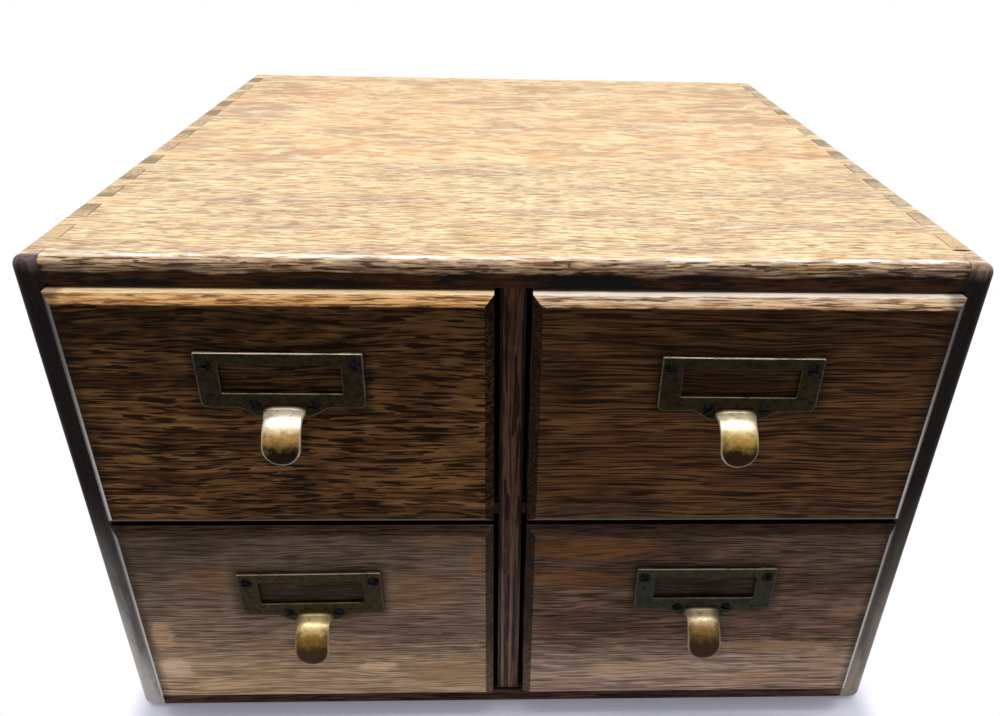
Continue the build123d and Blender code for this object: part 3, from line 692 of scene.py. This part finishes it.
def pull_grid():
    """Pull as a closed strip. Its middle line is a root arc, a short run and a wide bow. The half width
    narrows smoothly from the root and follows a half circle at the end; the thickness falls off as a
    quarter circle within the rounded rim, and the sides drop back a little from the middle."""
    root_turn = math.pi / 2 - root_lean
    ends = np.cumsum([root_radius * root_turn, run_length, bow_radius * bow_angle])
    fine = np.linspace(0, ends[2], 4000)
    turn = np.where(fine < ends[0], fine / root_radius,
                    np.where(fine < ends[1], root_turn, root_turn - (fine - ends[1]) / bow_radius))
    middle = (turn[1:] + turn[:-1]) / 2
    out = np.concatenate([[0], np.cumsum(np.sin(middle) * fine[1])])
    fall = np.concatenate([[0], np.cumsum(np.cos(middle) * fine[1])])
    cap = np.linspace(0, np.pi / 2, 24)
    cap_fall = fall[-1] - pull_half * (1 - np.sin(cap))
    body = 44
    s = np.concatenate([np.linspace(0, np.interp(cap_fall[0], fall, fine), body, endpoint=False),
                        np.interp(cap_fall, fall, fine)])
    narrowed = 0.5 - 0.5 * np.cos(np.pi * np.clip(s / pull_taper, 0, 1))
    half = root_half + (pull_half - root_half) * narrowed
    half[body:] = np.maximum(pull_half * np.cos(cap), 0.00001)
    drop = np.concatenate([np.zeros(body), pull_half * np.sin(cap)])
    across = np.sin(np.linspace(-np.pi / 2, np.pi / 2, 25))
    ring = np.concatenate([across, across[-2:0:-1]])
    front = np.concatenate([np.ones(25), -np.ones(23)])
    x = half[:, None] * ring[None, :]
    inside = np.where(np.arange(len(s))[:, None] < body, half[:, None] - np.abs(x),
                      pull_half - np.hypot(x, drop[:, None]))
    thick = pull_sheet / 2 * np.sqrt(1 - (1 - np.clip(inside / pull_rim, 0, 1)) ** 2)
    settle = np.clip(s / ends[0], 0, 1)[:, None]
    lift = front[None, :] * thick - (np.abs(x) / pull_half) ** 2.5 * pull_crown * settle
    angle = np.interp(s, fine, turn)[:, None]
    y = (pull_sheet / 2 - np.interp(s, fine, out))[:, None] - np.cos(angle) * lift
    z = (-pull_start - np.interp(s, fine, fall))[:, None] + np.sin(angle) * lift
    points = np.stack([x, y, z], axis=-1).reshape(-1, 3)
    at_end = np.clip((s - ends[1]) / (ends[2] - ends[1]), 0, 1)[:, None]
    on_rim = (1 - np.clip(inside / 0.0008, 0, 1)) * np.clip(front, 0.2, 1)[None, :]
    wear = on_rim * settle * (0.3 + 0.7 * at_end)
    side = np.abs(x) / half[:, None]
    path = s[:, None] / ends[2] - 0.11 * side ** 4 * np.clip(1 - s[:, None] / (0.35 * ends[2]), 0, 1)
    return points, grid_faces(len(s), len(ring), close_rows=False), wear.reshape(-1), path.reshape(-1)


def label_holder_mesh(name, seat, turn_degrees):
    """Plate and pull as one mesh, turned a little about its own top middle and set on the drawer face."""
    plate_points, plate_faces, plate_wear = plate_grid()
    pull_points, pull_faces, pull_wear, pull_path = pull_grid()
    points = np.concatenate([plate_points, pull_points])
    faces = plate_faces.tolist() + (pull_faces + len(plate_points)).tolist()
    turn = math.radians(turn_degrees)
    turned = np.stack([points[:, 0] * math.cos(turn) + points[:, 2] * math.sin(turn), points[:, 1],
                       -points[:, 0] * math.sin(turn) + points[:, 2] * math.cos(turn)], axis=1)
    mesh = bpy.data.meshes.new(name)
    mesh.from_pydata((turned + np.asarray(seat)).tolist(), [], faces)
    mesh.update()
    for label, values in (("rubbed", np.concatenate([plate_wear, pull_wear])),
                          ("along", np.concatenate([np.full(len(plate_points), -1.0), pull_path]))):
        mesh.attributes.new(label, "FLOAT", "POINT").data.foreach_set("value", values.astype(np.float32))
    mesh.shade_smooth()
    made = bpy.data.objects.new(name, mesh)
    bpy.context.scene.collection.objects.link(made)
    return made


def aged_brass(name, seed, centre_x, patina, patina_light, rubbed_edge_and_highlight, golden, middle, brown, side_shade,
               shift):
    """Brass gone brown: dull patina on the flats, and on the pull metal that runs from golden below its
    root to brown at its tip. The gold is made pale where the overhead light falls, as a painted highlight,
    and the brown at the tip is patina with painted shade where the tip faces the room in front. Painted shade
    darkens the pull towards its sides and at the top of its root. The rims are rubbed bright, with a painted
    highlight that on the plate is strongest where a rim faces up. The tone follows the running length along
    the pull, made uneven by a noise."""
    made, tree, place, parts = start_material(name, "XZY", seed)
    rubbed = node(tree, "Attribute", attribute_name="rubbed", out="Fac")
    along = node(tree, "Attribute", attribute_name="along", out="Fac")
    mottle = speckle(tree, place, (2.6, 2.2, 2.2), 5.0, 0.62)
    broad = speckle(tree, place, (9, 7, 7), 3.0, 0.6)
    flat = node(tree, mixed, node(tree, smooth, mottle, 0.24, 0.70), shade(patina), shade(patina_light))

    is_pull = node(tree, smooth, along, -0.01, 0.03)
    shifted = node(tree, plus, along, shift)
    tone = uneven(tree, shifted, mottle, 0.3)
    # Along the pull: pale gold with a painted highlight below the root, to brown patina with painted shade at
    # the tip.
    pull_colour = node(tree, mixed, node(tree, smooth, tone, 0.34, 0.56), shade(golden), shade(middle))
    pull_colour = node(tree, mixed, node(tree, smooth, tone, 0.50, 0.80), pull_colour, shade(brown))
    # Painted shade towards the pull's sides, for its slight curve across.
    dull = uneven(tree, apart(tree, parts["X"], centre_x), mottle, 0.004)
    dull = node(tree, smooth, dull, 0.0030, 0.0068, 0.0, side_shade)
    pull_colour = node(tree, mixed, dull, pull_colour, shade(brown))
    # Painted shade at the top of the pull's root, where it leaves the plate.
    painted_root_shade = node(tree, smooth, along, 0.10, 0.02, 0.0, 0.85)
    pull_colour = node(tree, mixed, painted_root_shade, pull_colour, shade(patina_light))
    colour = node(tree, mixed, is_pull, flat, pull_colour)

    # Rims rubbed bright, with a painted highlight; on the plate it is strongest where a rim faces up.
    rim = node(tree, times, rubbed, node(tree, smooth, broad, 0.35, 0.55, 0.4, 1.0))
    highlight_facing_up = node(tree, smooth, surface_facing(tree)["Z"], 0.3, 0.8, 0.15, 1.0)
    rim = node(tree, times, rim, node(tree, larger, highlight_facing_up, is_pull))
    colour = node(tree, mixed, rim, colour, shade(rubbed_edge_and_highlight))
    bare = node(tree, smooth, shifted, 0.25, 0.40, 0.6, 0.92)
    metal = node(tree, larger, node(tree, times, is_pull, bare), 0.35)
    metal = node(tree, times, metal, node(tree, minus, 1.0, node(tree, times, rim, 0.6)))
    rough = node(tree, smooth, mottle, *whole_span, 0.24, 0.42)
    rough = node(tree, minus, rough, node(tree, times, rim, 0.08))
    bump = node(tree, "Bump", {"Strength": 0.5, "Distance": 0.0001, "Height": mottle})
    shader = node(tree, "BsdfPrincipled", {"Base Color": colour, "Metallic": metal, "Roughness": rough,
                                           "Normal": bump, "Specular IOR Level": 0.05})
    node(tree, "OutputMaterial", shader)
    return made


brass_tones = {
    "upper_left": dict(patina="110c06", patina_light="332a18", rubbed_edge_and_highlight="fff0d8", golden="fff0d4",
                       middle="b08a50", brown="1c130b", side_shade=0.25, shift=0.0),
    "upper_right": dict(patina="120e07", patina_light="332a17", rubbed_edge_and_highlight="fbead0", golden="fbeac4",
                        middle="b6934e", brown="241a10", side_shade=0.3, shift=0.02),
    "lower_left": dict(patina="241d10", patina_light="463a22", rubbed_edge_and_highlight="cdb998", golden="d8c08c",
                       middle="8c6a30", brown="38281a", side_shade=0.55, shift=0.08),
    "lower_right": dict(patina="202219", patina_light="3b3b2c", rubbed_edge_and_highlight="c0b298", golden="c0a888",
                        middle="7d5f34", brown="33251a", side_shade=0.6, shift=0.10),
}
# How far each holder sits off true: mm to the right, mm up, and degrees of turn.
holder_seats = {
    "upper_left": (0.9, 1.6, 0.2), "upper_right": (-0.35, 0.5, 0.4),
    "lower_left": (0.5, 0.6, -0.7), "lower_right": (-0.65, 2.3, 0.0),
}
plate_below_front_top = 0.0232
for number, corner in enumerate(corners):
    front_low, front_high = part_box(corner + "_drawer_front")
    right, up, turned = holder_seats[corner]
    seat = ((front_low.x + front_high.x) / 2 + right / 1000, front_low.y - plate_depth,
            front_high.z - plate_below_front_top + up / 1000)
    holder = label_holder_mesh(corner + "_label_holder", seat, turned)
    holder.data.materials.append(aged_brass("aged_brass_" + corner, 20.0 + number, seat[0],
                                            **brass_tones[corner]))
    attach(holder, corner + "_drawer")
    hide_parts(corner + "_label_holder_pull")

# Screws of the label holders. Slotted steel with round heads, blued nearly black and
# dulled by handling, four to a plate.

for number, corner in enumerate(corners):
    blued = dull_steel("blued_screw_steel_" + corner, 30.0 + number, "0c0b0a", "050404", 0.7, 0.4)
    dress([corner + "_label_holder_screws"], blued)

# Floor, light and camera. A white sheet under the cabinet, soft light from above and behind,
# and a darker room in front; the camera stands where the photograph was taken.

case_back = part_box("case_left_side")[1].y


def seen_directly(tree):
    """1 for what the camera, a mirror or glass sees, and 0 for light that falls on the cabinet."""
    path = node(tree, "LightPath").node.outputs
    either = node(tree, larger, path["Is Camera Ray"], path["Is Glossy Ray"])
    return node(tree, larger, either, path["Is Transmission Ray"])


def white_paper():
    """White paper, matt. Seen directly it is plain white, and takes a soft bluish shadow close round the
    case; the light that it throws on the case is that of paper which darkens towards the room in front."""
    made = bpy.data.materials.new("white_paper")
    made.use_nodes = True
    tree = made.node_tree
    tree.nodes.clear()
    spot = node(tree, "SeparateXYZ", node(tree, "TexCoord", out="Object")).node.outputs
    far = node(tree, smooth, spot["Y"], -0.30, -0.50)
    tone = node(tree, mixed, far, shade("efeff1"), shade("595959"))
    seen = seen_directly(tree)
    aside = node(tree, minus, node(tree, size_of, spot["X"]), case_half_width)
    ahead = node(tree, minus, case_front, spot["Y"])
    behind = node(tree, minus, spot["Y"], case_back)
    clear = node(tree, larger, node(tree, smooth, aside, -0.010, 0.014),
                 node(tree, smooth, ahead, 0.03, 0.16))
    clear = node(tree, larger, clear, node(tree, smooth, behind, 0.0, 0.05))
    shaded = node(tree, mixed, clear, shade("e2e1f1"), shade("000000"))
    lit = node(tree, "BsdfDiffuse", {"Color": node(tree, mixed, seen, tone, shaded)})
    strength = node(tree, times, seen, node(tree, smooth, clear, 0.0, 1.0, 0.19, 1.0))
    glow = node(tree, "Emission", {"Color": node(tree, mixed, clear, shade("e7eaff"), shade("ffffff")),
                                   "Strength": strength})
    node(tree, "OutputMaterial", node(tree, "AddShader", lit, glow))
    return made


reach = 3.0
floor_below = 0.0002
sheet = bpy.data.meshes.new("floor_sheet")
sheet.from_pydata([(-reach, -reach, 0), (reach, -reach, 0), (reach, reach, 0), (-reach, reach, 0)], [],
                  [(0, 1, 2, 3)])
sheet.materials.append(white_paper())
floor = bpy.data.objects.new("floor_sheet", sheet)
floor.location.z = -floor_below
bpy.context.scene.collection.objects.link(floor)

world = bpy.data.worlds.new("studio")
world.use_nodes = True
bpy.context.scene.world = world
tree = world.node_tree
tree.nodes.clear()
direction = node(tree, "SeparateXYZ", node(tree, "TexCoord", out="Generated")).node.outputs
to_back = node(tree, smooth, direction["Y"], -0.7, 0.2, 0.12, 1.0)
strength = node(tree, larger, to_back, seen_directly(tree))
node(tree, "OutputWorld", node(tree, "Background", {"Color": shade("ffffff"), "Strength": strength}))

lamp_data = bpy.data.lights.new("overhead_softbox", "AREA")
lamp_data.shape = "RECTANGLE"
lamp_data.size, lamp_data.size_y = 1.1, 0.24
lamp_data.energy = 5.8
lamp = bpy.data.objects.new("overhead_softbox", lamp_data)
lamp.location = (0.03, -0.15, 1.1)
bpy.context.scene.collection.objects.link(lamp)

# Place, angles, focal length and middle of the picture, the last two in pixels, as the photograph gives
# them.
focal_pixels = 844.3
picture_width, picture_height = 1000, 716
middle_x, middle_y = 527, 400
sensor_width = 36.0
view_pitch = math.radians(-30.78)
view_yaw = math.radians(2.57)
view_roll = math.radians(1.47)
view_place = (-0.0069, case_front - 0.2851, 0.3460)
camera_data = bpy.data.cameras.new("camera")
camera_data.sensor_fit = "HORIZONTAL"
camera_data.sensor_width = sensor_width
camera_data.lens = focal_pixels * sensor_width / picture_width
camera_data.shift_x = (picture_width / 2 - middle_x) / picture_width
camera_data.shift_y = (middle_y - picture_height / 2) / picture_width
camera_data.clip_start, camera_data.clip_end = 0.01, 50
ahead = Vector((math.sin(view_yaw) * math.cos(view_pitch), math.cos(view_yaw) * math.cos(view_pitch),
                math.sin(view_pitch)))
right = Vector((math.cos(view_yaw), -math.sin(view_yaw), 0))
up = right.cross(ahead)
right_rolled = right * math.cos(view_roll) + up * math.sin(view_roll)
up_rolled = up * math.cos(view_roll) - right * math.sin(view_roll)
aim = Matrix((right_rolled, up_rolled, -ahead)).transposed().to_4x4()
camera = bpy.data.objects.new("camera", camera_data)
camera.matrix_world = Matrix.Translation(view_place) @ aim
bpy.context.scene.collection.objects.link(camera)
bpy.context.scene.camera = camera
bpy.context.scene.view_settings.view_transform = "Standard"
